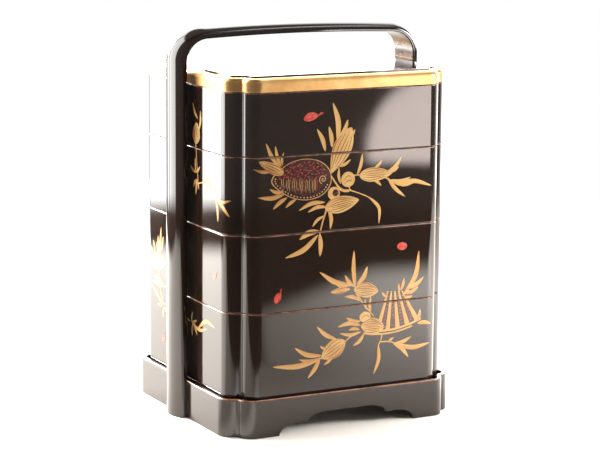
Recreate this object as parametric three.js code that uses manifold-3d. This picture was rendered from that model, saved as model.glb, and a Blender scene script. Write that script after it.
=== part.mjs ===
// A tiered lacquer box for carrying food: four open boxes stacked under a lid, in a low footed tray
// that a tall bent handle spans from side to side. Millimetres, +Z up, the front towards -Y.
// The origin is the middle of the footprint, on the surface that the box stands on.
//
// Seen from above, every piece but the handle is a rectangle with notched corners: each corner is two
// round shoulders that meet in a sharp inward crease. The wall of such a piece follows that outline.

import * as THREE from "three";
import { mergeVertices } from "three/addons/utils/BufferGeometryUtils.js";
import Module from "manifold-3d";

// The stacked boxes
const tierWidth = 200;
const tierDepth = 187;
const shoulderRadius = 12; // of each of the two round shoulders at a corner
const tierWall = 4.5;
const tierFloor = 4.5;
const topTierHeight = 50.5; // from the shoulder that rests on the rim below up to the rim
const middleTierHeight = 62.25;
const bottomTierHeight = 70;
const footDepth = 4; // how far a box's foot drops into what holds it
const footClearance = 0.5; // all round the foot
const seatGap = 0.25; // lacquer on lacquer, wherever one piece rests on or in another

// The lid
const lidRimHeight = 11;
const lidRimWidth = 7; // from the outside in to the raised panel
const lidEdgeRadius = 4;
const lidPanelRise = 1.5;
const lidPlate = 4.5;
const lidLip = 3; // thickness of the lip that drops into the top box

// The footed tray
const trayWall = 4;
const trayClearance = 1.25; // between the bottom box and the tray's wall
const trayHeight = 31.25;
const trayRecess = 5.75; // from the tray's rim down to its floor
const trayFloor = 5;

// The cut-out under the tray's front and back: a low arch with a second, higher one in its middle
const lowArchHalfWidth = 61.7;
const lowArchHeight = 8.9;
const lowArchRun = 13.7; // how far the low arch's curved end reaches
const highArchHalfWidth = 35.8;
const highArchHeight = 15.8;
const highArchRun = 17.3;

// The handle, a flat band with a domed outer face
const handleWidth = 31;
const handleEdge = 4; // thickness at its two long edges
const handleDome = 5.75; // how much thicker it is along its middle
const handGap = 25.5; // from the top of the lid to the underside of the bar
const handleBendRadius = 19; // of the inner face
const handleCrownRadius = 1800; // of the slight arch along the bar
const handleHousing = 1.1; // how deep the legs are let into the tray's side walls

// How finely the curves are cut into flat faces
const shoulderSteps = 6;
const creaseSteps = 3;
const edgeSteps = 4;
const archSteps = 6;
const domeSteps = 10;
const bendSteps = 9;
const crownSteps = 11; // odd, so that the middle face of the bar is level

const blackLacquer = { color: 0x14100e, roughness: 0.12, metalness: 0 };

const wasm = await Module();
wasm.setup();

function solidFrom(geometry) {
  const plain = geometry.index ? geometry.toNonIndexed() : geometry.clone();
  plain.deleteAttribute("normal");
  plain.deleteAttribute("uv");
  const merged = mergeVertices(plain, 1e-4);
  return new wasm.Manifold(
    new wasm.Mesh({
      numProp: 3,
      vertProperties: merged.attributes.position.array,
      triVerts: new Uint32Array(merged.index.array),
    }),
  );
}

function geometryFrom(solid) {
  const mesh = solid.getMesh();
  const geometry = new THREE.BufferGeometry();
  geometry.setAttribute("position", new THREE.BufferAttribute(mesh.vertProperties, 3));
  geometry.setIndex(new THREE.BufferAttribute(mesh.triVerts, 1));
  geometry.computeVertexNormals();
  return geometry;
}

// Points of an arc about (x, y), both ends included.
function arc(x, y, radius, from, to, steps) {
  return Array.from({ length: steps + 1 }, (_, i) => {
    const angle = from + ((to - from) * i) / steps;
    return new THREE.Vector2(x + radius * Math.cos(angle), y + radius * Math.sin(angle));
  });
}

// The notched outline, anticlockwise, moved inwards by inset. Moving it in shrinks the shoulders and
// rounds the crease with an arc of that same inset about the crease itself.
function notchedOutline(width, depth, inset) {
  const quarter = Math.PI / 2;
  const points = [];
  for (let corner = 0; corner < 4; corner++) {
    const halfAlong = (corner % 2 ? depth : width) / 2;
    const halfAcross = (corner % 2 ? width : depth) / 2;
    const creaseX = halfAlong - shoulderRadius;
    const creaseY = halfAcross - shoulderRadius;
    const round = shoulderRadius - inset;
    const corners = [
      ...arc(creaseX, creaseY - shoulderRadius, round, 0, quarter, shoulderSteps),
      ...arc(creaseX, creaseY, inset, -quarter, -2 * quarter, creaseSteps).slice(1, -1),
      ...arc(creaseX - shoulderRadius, creaseY, round, 0, quarter, shoulderSteps),
    ];
    const middle = new THREE.Vector2();
    points.push(...corners.map((p) => p.rotateAround(middle, corner * quarter)));
  }
  return points;
}

// Closes a list of rings of points into one solid, with the first and last rings filled in.
// fill lists the triangles that fill a ring and face the way the rings advance.
function closeRings(rings, fill) {
  const count = rings[0].length;
  const last = (rings.length - 1) * count;
  const faces = [];
  for (const [a, b, c] of fill) {
    faces.push([a, c, b], [last + a, last + b, last + c]);
  }
  for (let k = 0; k + 1 < rings.length; k++) {
    for (let i = 0; i < count; i++) {
      const here = k * count + i;
      const next = k * count + ((i + 1) % count);
      faces.push([here, next, next + count], [here, next + count, here + count]);
    }
  }
  const points = rings.flat();
  const real = faces.filter(([a, b, c]) => {
    const [p, q, r] = [points[a], points[b], points[c]];
    return p.distanceTo(q) > 1e-6 && q.distanceTo(r) > 1e-6 && r.distanceTo(p) > 1e-6;
  });
  const geometry = new THREE.BufferGeometry();
  geometry.setFromPoints(real.flat().map((i) => points[i]));
  geometry.computeVertexNormals();
  return geometry;
}

// A piece whose wall follows the notched outline. The section lists [inset, height] pairs, from the
// middle of its underside out, up its outside and in again to the middle of its top or floor.
function notchedPiece(width, depth, section) {
  const rings = section.map(([inset, height]) =>
    notchedOutline(width, depth, inset).map((p) => new THREE.Vector3(p.x, p.y, height)),
  );
  const fill = THREE.ShapeUtils.triangulateShape(notchedOutline(width, depth, section[0][0]), []);
  return closeRings(rings, fill);
}

const footInset = tierWall + footClearance;

// One open box. Height 0 is the shoulder that rests on the rim below, and its foot hangs under that.
function tierGeometry(height) {
  return notchedPiece(tierWidth, tierDepth, [
    [footInset, -footDepth],
    [footInset, 0],
    [0, 0],
    [0, height],
    [tierWall, height],
    [tierWall, tierFloor - footDepth],
  ]);
}

// The lid: an upside-down tray with a rounded rim round a raised panel, and a lip underneath that
// drops into the top box.
function lidGeometry() {
  const hollow = footInset + lidLip;
  const edgeCentre = lidRimHeight - lidEdgeRadius;
  const edge = arc(lidEdgeRadius, edgeCentre, lidEdgeRadius, Math.PI, Math.PI / 2, edgeSteps);
  return notchedPiece(tierWidth, tierDepth, [
    [hollow, lidPanelHeight - lidPlate],
    [hollow, -footDepth],
    [footInset, -footDepth],
    [footInset, 0],
    [0, 0],
    ...edge.map((p) => [p.x, p.y]),
    [lidRimWidth, lidRimHeight],
    [lidRimWidth, lidPanelHeight],
  ]);
}

const trayOutset = trayClearance + trayWall;
const trayWidth = tierWidth + 2 * trayOutset;
const trayDepth = tierDepth + 2 * trayOutset;
const trayFloorTop = trayHeight - trayRecess;

// The open boxes from the bottom up, the level of each one's shoulder, and the lid's level last
const tiers = [
  ["bottom_tier", bottomTierHeight],
  ["third_tier", middleTierHeight],
  ["second_tier", middleTierHeight],
  ["top_tier", topTierHeight],
];
const levels = [trayFloorTop + seatGap + footDepth];
for (const [, height] of tiers) {
  levels.push(levels.at(-1) + height + seatGap);
}
const lidLevel = levels.at(-1);
const lidPanelHeight = lidRimHeight + lidPanelRise;
const barHeight = lidLevel + lidPanelHeight + handGap;

// The outline of the cut-out, as seen from the front, open below the ground.
function cutOutShape() {
  const lowEnd = lowArchHalfWidth - lowArchRun;
  const highEnd = highArchHalfWidth - highArchRun;
  const highRise = highArchHeight - lowArchHeight;
  const quarter = Math.PI / 2;
  const shape = new THREE.Shape();
  shape.moveTo(-lowArchHalfWidth, -1);
  shape.lineTo(lowArchHalfWidth, -1);
  shape.absellipse(lowEnd, 0, lowArchRun, lowArchHeight, 0, quarter, false);
  shape.absellipse(highEnd, lowArchHeight, highArchRun, highRise, 0, quarter, false);
  shape.absellipse(-highEnd, lowArchHeight, highArchRun, highRise, quarter, 2 * quarter, false);
  shape.absellipse(-lowEnd, 0, lowArchRun, lowArchHeight, quarter, 2 * quarter, false);
  return shape;
}

// The footed tray: a wall with a floor let into it, cut out below at the front and back, with a
// shallow housing in each side wall for a leg of the handle.
function trayGeometry() {
  let tray = solidFrom(
    notchedPiece(trayWidth, trayDepth, [
      [trayWall, trayFloorTop - trayFloor],
      [trayWall, 0],
      [0, 0],
      [0, trayHeight],
      [trayWall, trayHeight],
      [trayWall, trayFloorTop],
    ]),
  );
  const cut = new THREE.ExtrudeGeometry(cutOutShape(), {
    depth: trayDepth + 2,
    bevelEnabled: false,
    curveSegments: archSteps,
  });
  cut.rotateX(Math.PI / 2);
  cut.translate(0, trayDepth / 2 + 1, 0);
  tray = tray.subtract(solidFrom(cut));
  for (const side of [-1, 1]) {
    const housing = new THREE.BoxGeometry(2 * handleHousing, handleWidth + 2 * seatGap, trayHeight + 2);
    housing.translate((side * trayWidth) / 2, 0, trayHeight / 2);
    tray = tray.subtract(solidFrom(housing));
  }
  return geometryFrom(tray);
}

// The line of the handle's inner face, from the left leg's foot to the right leg's, as stations that
// hold a point and the direction in which the band's thickness grows.
function handleStations() {
  const halfSpan = trayWidth / 2 - handleHousing + seatGap;
  const crownAngle = Math.asin((halfSpan - handleBendRadius) / (handleCrownRadius - handleBendRadius));
  const crownCentre = barHeight - handleCrownRadius;
  const bendHeight = crownCentre + (handleCrownRadius - handleBendRadius) * Math.cos(crownAngle);
  const station = (x, z, turn) => ({ x, z, out: new THREE.Vector3(-Math.cos(turn), 0, Math.sin(turn)) });
  const bend = Array.from({ length: bendSteps }, (_, i) => {
    const turn = ((Math.PI / 2 - crownAngle) * i) / bendSteps;
    const x = -halfSpan + handleBendRadius * (1 - Math.cos(turn));
    return station(x, bendHeight + handleBendRadius * Math.sin(turn), turn);
  });
  const crown = Array.from({ length: crownSteps + 1 }, (_, i) => {
    const lean = crownAngle * ((2 * i) / crownSteps - 1);
    const x = handleCrownRadius * Math.sin(lean);
    return station(x, crownCentre + handleCrownRadius * Math.cos(lean), Math.PI / 2 + lean);
  });
  const leftSide = [station(-halfSpan, 0, 0), ...bend];
  const rightSide = leftSide.map(({ x, z, out }) => ({ x: -x, z, out: out.clone().setX(-out.x) }));
  return [...leftSide, ...crown, ...rightSide.reverse()];
}

// The handle: a flat inner face, two thin edges and a dome that is one arc across the band.
function handleGeometry() {
  const half = handleWidth / 2;
  const domeRadius = (half * half + handleDome * handleDome) / (2 * handleDome);
  const domeHalfAngle = Math.asin(half / domeRadius);
  const quarter = Math.PI / 2;
  const dome = arc(
    0,
    handleEdge + handleDome - domeRadius,
    domeRadius,
    quarter - domeHalfAngle,
    quarter + domeHalfAngle,
    domeSteps,
  );
  const section = [new THREE.Vector2(-half, 0), new THREE.Vector2(half, 0), ...dome];
  const rings = handleStations().map(({ x, z, out }) =>
    section.map((p) => new THREE.Vector3(x, p.x, z).addScaledVector(out, p.y)),
  );
  return closeRings(rings, THREE.ShapeUtils.triangulateShape(section, []));
}

const box = new THREE.Group();

function place(name, geometry, height) {
  const mesh = new THREE.Mesh(geometry, new THREE.MeshStandardMaterial(blackLacquer));
  mesh.name = name;
  mesh.position.z = height;
  box.add(mesh);
}

place("footed_tray", trayGeometry(), 0);
place("handle", handleGeometry(), 0);

tiers.forEach(([name, height], i) => place(name, tierGeometry(height), levels[i]));
place("lid", lidGeometry(), lidLevel);

export default box;
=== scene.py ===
import math

import bmesh
import bpy
import numpy as np
from mathutils import Matrix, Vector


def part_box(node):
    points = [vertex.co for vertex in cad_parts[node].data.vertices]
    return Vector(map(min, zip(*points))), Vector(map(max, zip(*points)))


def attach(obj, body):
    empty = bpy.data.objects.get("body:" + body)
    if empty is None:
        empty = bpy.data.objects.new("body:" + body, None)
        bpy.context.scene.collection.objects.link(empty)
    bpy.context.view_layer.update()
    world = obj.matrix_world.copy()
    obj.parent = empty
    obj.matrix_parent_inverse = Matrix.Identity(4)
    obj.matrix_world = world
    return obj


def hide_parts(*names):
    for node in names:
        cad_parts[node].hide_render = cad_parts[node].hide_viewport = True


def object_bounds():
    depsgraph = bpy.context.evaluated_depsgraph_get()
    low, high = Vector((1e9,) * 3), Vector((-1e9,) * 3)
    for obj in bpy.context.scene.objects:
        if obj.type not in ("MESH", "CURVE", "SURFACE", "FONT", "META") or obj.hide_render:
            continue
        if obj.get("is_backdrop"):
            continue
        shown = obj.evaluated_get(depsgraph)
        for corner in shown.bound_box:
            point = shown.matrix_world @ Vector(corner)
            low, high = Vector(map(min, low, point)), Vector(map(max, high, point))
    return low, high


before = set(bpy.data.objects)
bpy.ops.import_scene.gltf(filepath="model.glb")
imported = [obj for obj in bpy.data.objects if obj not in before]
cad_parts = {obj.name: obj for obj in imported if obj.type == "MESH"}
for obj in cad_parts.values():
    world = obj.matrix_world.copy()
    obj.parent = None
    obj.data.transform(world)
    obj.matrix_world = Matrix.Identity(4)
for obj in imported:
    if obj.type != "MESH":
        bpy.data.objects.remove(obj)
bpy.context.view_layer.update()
mm = 0.001              # every size in the dictionaries below is in millimetres
together = 0.002        # points of a mesh closer than this are one point
inward = 6.0            # how far a bottom or floor runs level before it closes to its middle
supports = (0.35, 2.6)  # distances from an arc's ends at which further points hold them
sharpAngle = 32         # degrees above which an edge stays sharp in the shading
print("frame loaded")


# Small helpers for nodes and colours

def hexColour(text):
    # An sRGB hex colour as linear red, green, blue and alpha.
    srgb = [int(text[i:i + 2], 16) / 255 for i in (1, 3, 5)]
    return [c / 12.92 if c <= 0.04045 else ((c + 0.055) / 1.055) ** 2.4 for c in srgb] + [1.0]


def addNode(tree, kind, settings=None, links=None):
    # A shader node with its settings (its own properties, or the values of its inputs) and its
    # incoming links, each from a socket or from a node's first output.
    node = tree.nodes.new("ShaderNode" + kind)
    for key, value in (settings or {}).items():
        if isinstance(key, str) and hasattr(node, key):
            setattr(node, key, value)
        else:
            node.inputs[key].default_value = value
    for key, source in (links or {}).items():
        socket = source.outputs[0] if isinstance(source, bpy.types.Node) else source
        tree.links.new(socket, node.inputs[key])
    return node


def newMaterial(name):
    material = bpy.data.materials.new(name)
    material.use_nodes = True
    tree = material.node_tree
    tree.nodes.clear()
    return material, tree


def closeMaterial(tree, shader):
    addNode(tree, "OutputMaterial", links={"Surface": shader})


def stops(node, colours):
    # Fills a Color Ramp with (place, hex colour) pairs.
    ramp = node.color_ramp
    while len(ramp.elements) < len(colours):
        ramp.elements.new(0.5)
    for element, (place, colour) in zip(ramp.elements, colours):
        element.position = place
        element.color = hexColour(colour)
    return node


# Helpers for surfaces worked out as whole arrays

def roundedLine(corners, radii, steps=4):
    # A bent line with each corner rounded by an arc, and points just before and after each arc,
    # which keep the flat stretches between the arcs flat in reflections.
    corners = np.array(corners, float)
    parts = [corners[:1]]
    for i in range(1, len(corners) - 1):
        here, radius = corners[i], radii[i]
        before = corners[i - 1] - here
        after = corners[i + 1] - here
        beforeLength, afterLength = np.linalg.norm(before), np.linalg.norm(after)
        before, after = before / beforeLength, after / afterLength
        half = math.acos(np.clip(before @ after, -1, 1)) / 2
        cut = radius / math.tan(half)
        if radius > 0:
            middle = before + after
            centre = here + middle / np.linalg.norm(middle) * radius / math.sin(half)
            start = here + before * cut - centre
            end = here + after * cut - centre
            sweep = math.pi - 2 * half
            t = np.linspace(0, 1, steps + 1)[:, None]
            arc = start * np.sin((1 - t) * sweep) + end * np.sin(t * sweep)
            arc = centre + arc / math.sin(sweep)
        else:
            arc = here[None]
        pad = [here + before * (cut + d) for d in supports[::-1] if cut + d < beforeLength / 2]
        tail = [here + after * (cut + d) for d in supports if cut + d < afterLength / 2]
        parts += [np.array(pad).reshape(-1, 2), arc, np.array(tail).reshape(-1, 2)]
    return np.vstack(parts + [corners[-1:]])


def linkObject(name, data):
    item = bpy.data.objects.new(name, data)
    bpy.context.scene.collection.objects.link(item)
    return item


def newMesh(name, points, faces, materials, values):
    # A mesh in metres from points in millimetres, and for each named array an attribute with a
    # number or a vector for each point.
    mesh = bpy.data.meshes.new(name)
    mesh.from_pydata((np.asarray(points) * mm).tolist(), [], faces)
    for key, array in values.items():
        array = np.asarray(array, np.float32)
        kind, field = ("FLOAT", "value") if array.ndim == 1 else ("FLOAT_VECTOR", "vector")
        mesh.attributes.new(key, kind, "POINT").data.foreach_set(field, array.ravel())
    for material in materials:
        mesh.materials.append(material)
    return linkObject(name, mesh)


def buildMesh(name, points, faces, materials, values, materialIndex=None):
    # The same with doubles merged, faces turned outwards, and smooth but for its sharp edges.
    piece = newMesh(name, points, faces, materials, values)
    mesh = piece.data
    if materialIndex is not None:
        mesh.polygons.foreach_set("material_index", np.asarray(materialIndex, np.int32))
    work = bmesh.new()
    work.from_mesh(mesh)
    bmesh.ops.remove_doubles(work, verts=work.verts, dist=together * mm)
    bmesh.ops.dissolve_degenerate(work, edges=work.edges, dist=together * mm)
    bmesh.ops.recalc_face_normals(work, faces=work.faces)
    work.to_mesh(mesh)
    work.free()
    mesh.polygons.foreach_set("use_smooth", np.ones(len(mesh.polygons), bool))
    mesh.set_sharp_from_angle(angle=math.radians(sharpAngle))
    return piece


def ringFaces(rows, count):
    # Faces between neighbouring closed rings, and fans that close the first and the last ring. The
    # two fan middles are the last two points.
    i, j = np.meshgrid(np.arange(rows - 1), np.arange(count), indexing="ij")
    here, beside = i * count + j, i * count + (j + 1) % count
    walls = np.stack([here, beside, beside + count, here + count], -1).reshape(-1, 4)
    around = np.arange(count)
    last = (rows - 1) * count
    first = np.stack([(around + 1) % count, around, np.full(count, rows * count)], -1)
    final = np.stack([last + around, last + (around + 1) % count,
                      np.full(count, rows * count + 1)], -1)
    return walls.tolist() + first.tolist() + final.tolist()


def nodeBox(node):
    # The lowest and the highest corner of a CAD node in millimetres.
    return (np.array(corner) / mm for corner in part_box(node))


def finishPiece(piece, slot, *nodes):
    # The whole box is one body, so every piece rides on the root.
    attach(piece, "root")
    if nodes:
        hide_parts(*nodes)


# Materials

urushi = {
    "black": "#1B110C",       # raw lacquer blackened with iron, a warm black in strong light
    "worn": "#A9765C",        # translucent brown lacquer that shows where rims are rubbed
    "ior": 1.53,              # hardened urushi
    "roughness": (0.025, 0.06),
    "waveLength": 38.0,       # slow unevenness of hand-polished lacquer
    "waveHeight": 0.004,
    "grit": 1.6,              # faint orange peel
    "gritHeight": 0.00012,
    "handling": 55.0,         # size of the hazy patches left by hands and cloths
    "breaks": 7.0,            # size of the breaks in the worn line along a rim
}


def polishedBlackUrushi():
    # Many coats of black lacquer, ground flat and polished: a mirror over black, with slow waves, a
    # little haze in patches, and a warm brown line where the rims are worn.
    material, tree = newMaterial("black urushi, roiro polished")
    place = addNode(tree, "TexCoord").outputs["Object"]
    wear = addNode(tree, "Attribute", {"attribute_name": "wear"}).outputs["Fac"]
    rubbed = addNode(tree, "TexNoise", {"Scale": 1 / (urushi["breaks"] * mm), "Detail": 4.0},
                     {"Vector": place})
    broken = addNode(tree, "MapRange", {"From Min": 0.36, "From Max": 0.6, "To Min": 0.3},
                     {"Value": rubbed})
    amount = addNode(tree, "Math", {"operation": "MULTIPLY", "use_clamp": True},
                     {0: wear, 1: broken})
    colour = addNode(tree, "Mix", {"data_type": "RGBA", 6: hexColour(urushi["black"]),
                                   7: hexColour(urushi["worn"])}, {0: amount})
    haze = addNode(tree, "TexNoise", {"Scale": 1 / (urushi["handling"] * mm), "Detail": 5.0,
                                      "Roughness": 0.6}, {"Vector": place})
    smoothest, dullest = urushi["roughness"]
    gloss = addNode(tree, "MapRange", {"From Min": 0.35, "From Max": 0.7, "To Min": smoothest,
                                       "To Max": dullest}, {"Value": haze})
    waves = addNode(tree, "TexNoise", {"Scale": 1 / (urushi["waveLength"] * mm), "Detail": 1.0},
                    {"Vector": place})
    grit = addNode(tree, "TexNoise", {"Scale": 1 / (urushi["grit"] * mm), "Detail": 0.0},
                   {"Vector": place})
    slow = addNode(tree, "Bump", {"Distance": urushi["waveHeight"] * mm}, {"Height": waves})
    fine = addNode(tree, "Bump", {"Distance": urushi["gritHeight"] * mm},
                   {"Height": grit, "Normal": slow})
    shader = addNode(tree, "BsdfPrincipled", {"IOR": urushi["ior"]},
                     {"Base Color": colour.outputs[2], "Roughness": gloss, "Normal": fine})
    closeMaterial(tree, shader)
    return material


innerSatinReflection = {
    "colour": "#4A3830",      # brown painted in as the dim warm reflection on the inner side
    "roughness": (0.26, 0.36),
    "patch": 18.0,
    "gloss": 0.11,
}


def satinUrushiPaintedReflection():
    # The flat inner side of the handle: satin, and brownish in soft patches, the brown a painted
    # reflection that stands in for the dim warm reflection there.
    material, tree = newMaterial("black urushi, satin with brown painted reflection")
    place = addNode(tree, "TexCoord").outputs["Object"]
    patch = addNode(tree, "TexNoise", {"Scale": 1 / (innerSatinReflection["patch"] * mm), "Detail": 5.0,
                                       "Roughness": 0.6}, {"Vector": place})
    # painted reflection: patches of brown over the black
    colour = stops(addNode(tree, "ValToRGB", links={"Fac": patch}),
                   [(0.35, urushi["black"]), (0.65, innerSatinReflection["colour"])])
    smoothest, dullest = innerSatinReflection["roughness"]
    dull = addNode(tree, "MapRange", {"From Min": 0.35, "From Max": 0.65, "To Min": smoothest,
                                      "To Max": dullest}, {"Value": patch})
    shader = addNode(tree, "BsdfPrincipled", {"IOR": urushi["ior"],
                                              "Specular IOR Level": innerSatinReflection["gloss"]},
                     {"Base Color": colour, "Roughness": dull})
    closeMaterial(tree, shader)
    return material


rimGold = {
    "light": "#CCA674",
    "deep": "#A1783F",
    "roughness": 0.34,
    "powder": 0.5,            # grain of the powder, drawn coarser than real so that it shows
    "powderHeight": 0.0016,
    "cloud": 24.0,            # size of the denser and thinner places
    "grainShare": 0.35,       # how much single grains change the colour, against 1 for the clouds
}


def burnishedGoldPowder():
    # Fine gold powder sprinkled on wet lacquer and burnished: a satin metal with a soft grain, a
    # little browner where the powder lies thin.
    material, tree = newMaterial("gold powder in lacquer, burnished")
    place = addNode(tree, "TexCoord").outputs["Object"]
    cloud = addNode(tree, "TexNoise", {"Scale": 1 / (rimGold["cloud"] * mm), "Detail": 6.0,
                                       "Roughness": 0.65}, {"Vector": place})
    grain = addNode(tree, "TexNoise", {"Scale": 1 / (rimGold["powder"] * mm), "Detail": 2.0},
                    {"Vector": place})
    both = addNode(tree, "Math", {"operation": "MULTIPLY_ADD", 1: rimGold["grainShare"]},
                   {0: grain, 2: cloud})
    colour = stops(addNode(tree, "ValToRGB", links={"Fac": both}),
                   [(0.4, rimGold["deep"]), (0.9, rimGold["light"])])
    bump = addNode(tree, "Bump", {"Distance": rimGold["powderHeight"] * mm}, {"Height": grain})
    shader = addNode(tree, "BsdfPrincipled",
                     {"Metallic": 1.0, "Roughness": rimGold["roughness"]},
                     {"Base Color": colour, "Normal": bump})
    closeMaterial(tree, shader)
    return material


spray = {
    "pale": "#B3955F",
    "mid": "#A57D47",
    "deep": "#7E5029",
    "roughness": 0.42,
    "metal": 0.35,
    "coat": 0.04,             # the clear lacquer that holds the powder, polished with the rest,
    "coatWeight": 0.35,       # but only in the hollows between the grains
    "gloss": 0.25,            # the grains themselves hardly shine
    "powder": 0.45,
    "powderHeight": 0.004,
    "uneven": 0.3,            # how far single grains are paler or deeper than their stroke
}


def sprinkledGold():
    # Picture gold is matter than the rim under its clear lacquer: powder of uneven size over brown,
    # pale and dense at one end of each stroke and thinning to brown at the other.
    material, tree = newMaterial("gold powder picture, sprinkled")
    place = addNode(tree, "TexCoord").outputs["Object"]
    tone = addNode(tree, "Attribute", {"attribute_name": "tone"}).outputs["Fac"]
    grain = addNode(tree, "TexNoise", {"Scale": 1 / (spray["powder"] * mm), "Detail": 3.0,
                                       "Roughness": 0.7}, {"Vector": place})
    spread = addNode(tree, "MapRange", {"From Min": 0.3, "From Max": 0.7,
                                        "To Min": -spray["uneven"], "To Max": spray["uneven"]},
                     {"Value": grain})
    both = addNode(tree, "Math", {"operation": "ADD"}, {0: tone, 1: spread})
    colour = stops(addNode(tree, "ValToRGB", links={"Fac": both}),
                   [(0.0, spray["deep"]), (0.5, spray["mid"]), (1.0, spray["pale"])])
    bump = addNode(tree, "Bump", {"Distance": spray["powderHeight"] * mm}, {"Height": grain})
    shader = addNode(tree, "BsdfPrincipled",
                     {"Metallic": spray["metal"], "Roughness": spray["roughness"],
                      "Specular IOR Level": spray["gloss"], "Coat Weight": spray["coatWeight"],
                      "Coat Roughness": spray["coat"], "Coat IOR": urushi["ior"]},
                     {"Base Color": colour, "Normal": bump})
    closeMaterial(tree, shader)
    return material


brushed = {
    "vermilion": ("#BE3C26", "#8E1E12", 0.22),    # light, dark and roughness
    "shellBrown": ("#3A1D16", "#241210", 0.14),
    "pool": 3.0,              # size of the places where the lacquer pools a little darker
    "poolHeight": 0.006,
}


def colouredUrushi(name, light, dark, roughness):
    # Pigmented lacquer laid on with a brush: a glossy solid colour that pools a little darker.
    material, tree = newMaterial(name)
    place = addNode(tree, "TexCoord").outputs["Object"]
    pool = addNode(tree, "TexNoise", {"Scale": 1 / (brushed["pool"] * mm), "Detail": 3.0},
                   {"Vector": place})
    colour = stops(addNode(tree, "ValToRGB", links={"Fac": pool}),
                   [(0.35, dark), (0.62, light)])
    bump = addNode(tree, "Bump", {"Distance": brushed["poolHeight"] * mm}, {"Height": pool})
    shader = addNode(tree, "BsdfPrincipled", {"Roughness": roughness, "IOR": urushi["ior"]},
                     {"Base Color": colour, "Normal": bump})
    closeMaterial(tree, shader)
    return material


black = polishedBlackUrushi()
rimMetal = burnishedGoldPowder()
pictureGold = sprinkledGold()
vermilion = colouredUrushi("vermilion urushi, brushed", *brushed["vermilion"])
shellBrown = colouredUrushi("dark brown urushi, brushed", *brushed["shellBrown"])
print("materials made")


# The notched outline that the boxes, the lid and the tray share

corner = {
    "radius": 12.0,   # of the two round shoulders at each corner
    "crease": 3.0,    # radius of the lacquer that has pooled in the crease between them
    "arcSteps": 22,
    "creaseSteps": 8,
    "sideStops": 13,
}


def sideStops(reach, extra=()):
    # Places along one straight side from one end to the other, close together at its ends.
    even = np.linspace(reach - 0.5, 0.5 - reach, corner["sideStops"])
    return np.sort(np.concatenate([even, np.asarray(extra, float)]))[::-1]


def notchedRing(half, inset, longExtra=(), shortExtra=()):
    # Each corner is two arcs of radius r about (a, b - r) and (a - r, b), with a and b the half
    # sizes less r, and between them the hollow arc of radius q that touches both. Its centre is off
    # (a, b) by h both ways, h = (sqrt(r^2 + 4 r q + 2 q^2) - r) / 2, and each arc stops short of a
    # quarter by atan(h / (r + h)). The corner and the side after it are worked out once and turned
    # by a quarter four times. An inset makes the shoulder arcs smaller, and the hollow one larger.
    r, q = corner["radius"], corner["crease"]
    h = (math.sqrt(r * r + 4 * r * q + 2 * q * q) - r) / 2
    short = math.atan2(h, r + h)
    sweep = np.linspace(0, math.pi / 2 - short, corner["arcSteps"] + 1)
    turnIn = np.linspace(-math.pi / 2 - short, short - math.pi, corner["creaseSteps"] + 1)[1:-1]
    parts = []
    for turn in range(4):
        a, b = half[turn % 2] - r, half[1 - turn % 2] - r
        side = sideStops(a - r, shortExtra if turn % 2 else longExtra)
        full, hollow = r - inset, q + inset
        x = np.concatenate([a + full * np.cos(sweep), a + h + hollow * np.cos(turnIn),
                            a - r + full * np.cos(sweep + short), side])
        y = np.concatenate([b - r + full * np.sin(sweep), b + h + hollow * np.sin(turnIn),
                            b + full * np.sin(sweep + short), np.full(len(side), b + full)])
        c, s = round(math.cos(turn * math.pi / 2)), round(math.sin(turn * math.pi / 2))
        parts.append(np.stack([x * c - y * s, x * s + y * c], 1))
    return np.vstack(parts)


def notchedShell(name, half, profile, materials, wearAt, wearReach, goldFrom=None):
    # Carries a profile of (inset, height) pairs round the notched outline. Wear fades as
    # exp(-(d / reach)^2) with the distance d from the places of the profile that are rubbed.
    rings = [np.column_stack([ring, np.full(len(ring), z)])
             for ring, z in ((notchedRing(half, inset), z) for inset, z in profile)]
    points = np.array(rings)
    rows, count = points.shape[:2]
    ends = [[0, 0, profile[0][1]], [0, 0, profile[-1][1]]]
    wear = np.zeros(rows)
    for spot in wearAt:
        gap = np.linalg.norm(profile - np.array(spot), axis=1)
        wear = np.maximum(wear, np.exp(-(gap / wearReach) ** 2))
    wear = np.append(np.repeat(wear, count), [0, 0])
    index = None
    if goldFrom is not None:
        middle = (profile[1:] + profile[:-1]) / 2
        gold = goldFrom(middle[:, 0], middle[:, 1]).astype(int)
        index = np.concatenate([np.repeat(gold, count), np.zeros(2 * count, int)])
    faces = ringFaces(rows, count)
    return buildMesh(name, np.vstack([points.reshape(-1, 3), ends]), faces, materials,
                     {"wear": wear}, index)


# The four open boxes

tier = {
    "wall": 4.5,
    "floor": 4.5,
    "footDepth": 4.0,
    "footClearance": 0.5,
    "footRound": 0.8,
    "rimRound": 0.6,
    "shoulderRound": 0.5,
    "insideRound": 3.0,
    "wearAt": 0.2,            # from the outer edge of the rim
    "wearReach": 0.42,
}
tierNames = ["bottom_tier", "third_tier", "second_tier", "top_tier"]
tierSpans = {}
for node in tierNames:
    low, high = nodeBox(node)
    half, base, rim = high[:2], low[2], high[2]
    foot = tier["wall"] + tier["footClearance"]
    shoulder = base + tier["footDepth"]
    floorTop = base + tier["floor"]
    profile = roundedLine(
        [(foot + inward, base), (foot, base), (foot, shoulder), (0, shoulder), (0, rim),
         (tier["wall"], rim), (tier["wall"], floorTop), (tier["wall"] + inward, floorTop)],
        [0, tier["footRound"], 0, tier["shoulderRound"], tier["rimRound"], tier["rimRound"],
         tier["insideRound"], 0])
    box = notchedShell(node + "_lacquered", half, profile, [black],
                       wearAt=[(tier["wearAt"], rim - tier["wearAt"])],
                       wearReach=tier["wearReach"])
    finishPiece(box, "black_lacquer", node)
    tierSpans[node] = (shoulder, rim)
print("boxes made")


# The lid, black but for its gold rim

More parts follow.
